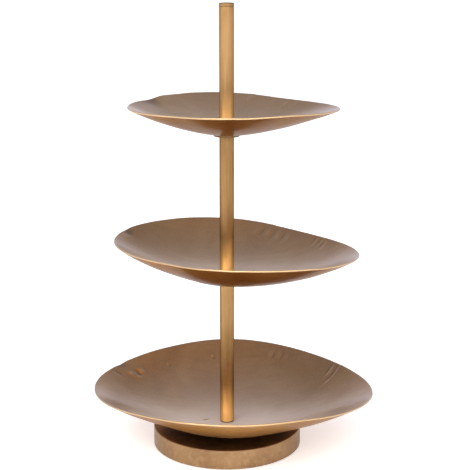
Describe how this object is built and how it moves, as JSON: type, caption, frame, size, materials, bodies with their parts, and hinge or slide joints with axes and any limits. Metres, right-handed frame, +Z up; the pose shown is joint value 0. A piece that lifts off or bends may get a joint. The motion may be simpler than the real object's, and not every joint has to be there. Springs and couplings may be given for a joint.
{
  "type": "tiered cake stand",
  "caption": "Tiered serving stand: leaf-shaped shallow dishes clamped on a screwed tube pole over a round weighted drum base.",
  "frame": {"origin": "where the pole's axis meets the table, on the underside of the base", "axes": "+Z up along the pole, +X to the right and -Y towards the viewer of the front"},
  "size_m": [0.318, 0.2867, 0.4998],
  "materials": {
    "gold_paint": "satin antique gold",
    "zinc_plate": "zinc plated",
    "fibreboard": "raw fibreboard",
    "felt": "felt",
    "nylon": "matte"
  },
  "bodies": {
    "base": {"base_drum": "gold_paint", "base_board": "fibreboard", "base_felt": "felt", "base_washer": "zinc_plate", "base_nut": "zinc_plate", "base_stud": "zinc_plate"},
    "bottom_dish": {"bottom_tray": "gold_paint"},
    "lower_screw": {"lower_spacer": "nylon"},
    "lower_pole": {"lower_tube": "gold_paint", "lower_foot_plug": "zinc_plate", "lower_head_plug": "zinc_plate", "middle_stud": "zinc_plate", "middle_support": "gold_paint"},
    "middle_dish": {"middle_tray": "gold_paint"},
    "middle_screw": {"middle_spacer": "nylon"},
    "middle_pole": {"middle_tube": "gold_paint", "middle_foot_plug": "zinc_plate", "middle_head_plug": "zinc_plate", "top_stud": "zinc_plate", "top_support": "gold_paint"},
    "top_dish": {"top_tray": "gold_paint"},
    "upper_screw": {"upper_spacer": "nylon"},
    "upper_pole": {"upper_tube": "gold_paint", "upper_foot_plug": "zinc_plate", "top_cap": "gold_paint"}
  },
  "joints": [
    {"name": "bottom_tray_turn", "type": "hinge", "parent": "base", "child": "bottom_dish", "pos_m": [0, 0, 0.0226], "axis": [0, 0, 1], "continuous": true},
    {"name": "lower_tube_unscrew", "type": "hinge", "parent": "base", "child": "lower_screw", "pos_m": [0, 0, 0.0257], "axis": [0, 0, 1], "range_deg": [0, 2881]},
    {"name": "lower_tube_lift", "type": "slide", "parent": "lower_screw", "child": "lower_pole", "axis": [0, 0, 1], "range_m": [0, 0.01]},
    {"name": "middle_tray_turn", "type": "hinge", "parent": "lower_pole", "child": "middle_dish", "pos_m": [0, 0, 0.1958], "axis": [0, 0, 1], "continuous": true},
    {"name": "middle_tube_unscrew", "type": "hinge", "parent": "lower_pole", "child": "middle_screw", "pos_m": [0, 0, 0.1989], "axis": [0, 0, 1], "range_deg": [0, 2881]},
    {"name": "middle_tube_lift", "type": "slide", "parent": "middle_screw", "child": "middle_pole", "axis": [0, 0, 1], "range_m": [0, 0.01]},
    {"name": "top_tray_turn", "type": "hinge", "parent": "middle_pole", "child": "top_dish", "pos_m": [0, 0, 0.359], "axis": [0, 0, 1], "continuous": true},
    {"name": "upper_tube_unscrew", "type": "hinge", "parent": "middle_pole", "child": "upper_screw", "pos_m": [0, 0, 0.3621], "axis": [0, 0, 1], "range_deg": [0, 2881]},
    {"name": "upper_tube_lift", "type": "slide", "parent": "upper_screw", "child": "upper_pole", "axis": [0, 0, 1], "range_m": [0, 0.01]}
  ],
  "couplings": [
    {"joint": "lower_tube_unscrew", "follows": "lower_tube_lift", "rad_per_m": 5026.5},
    {"joint": "middle_tube_unscrew", "follows": "middle_tube_lift", "rad_per_m": 5026.5},
    {"joint": "upper_tube_unscrew", "follows": "upper_tube_lift", "rad_per_m": 5026.5}
  ]
}
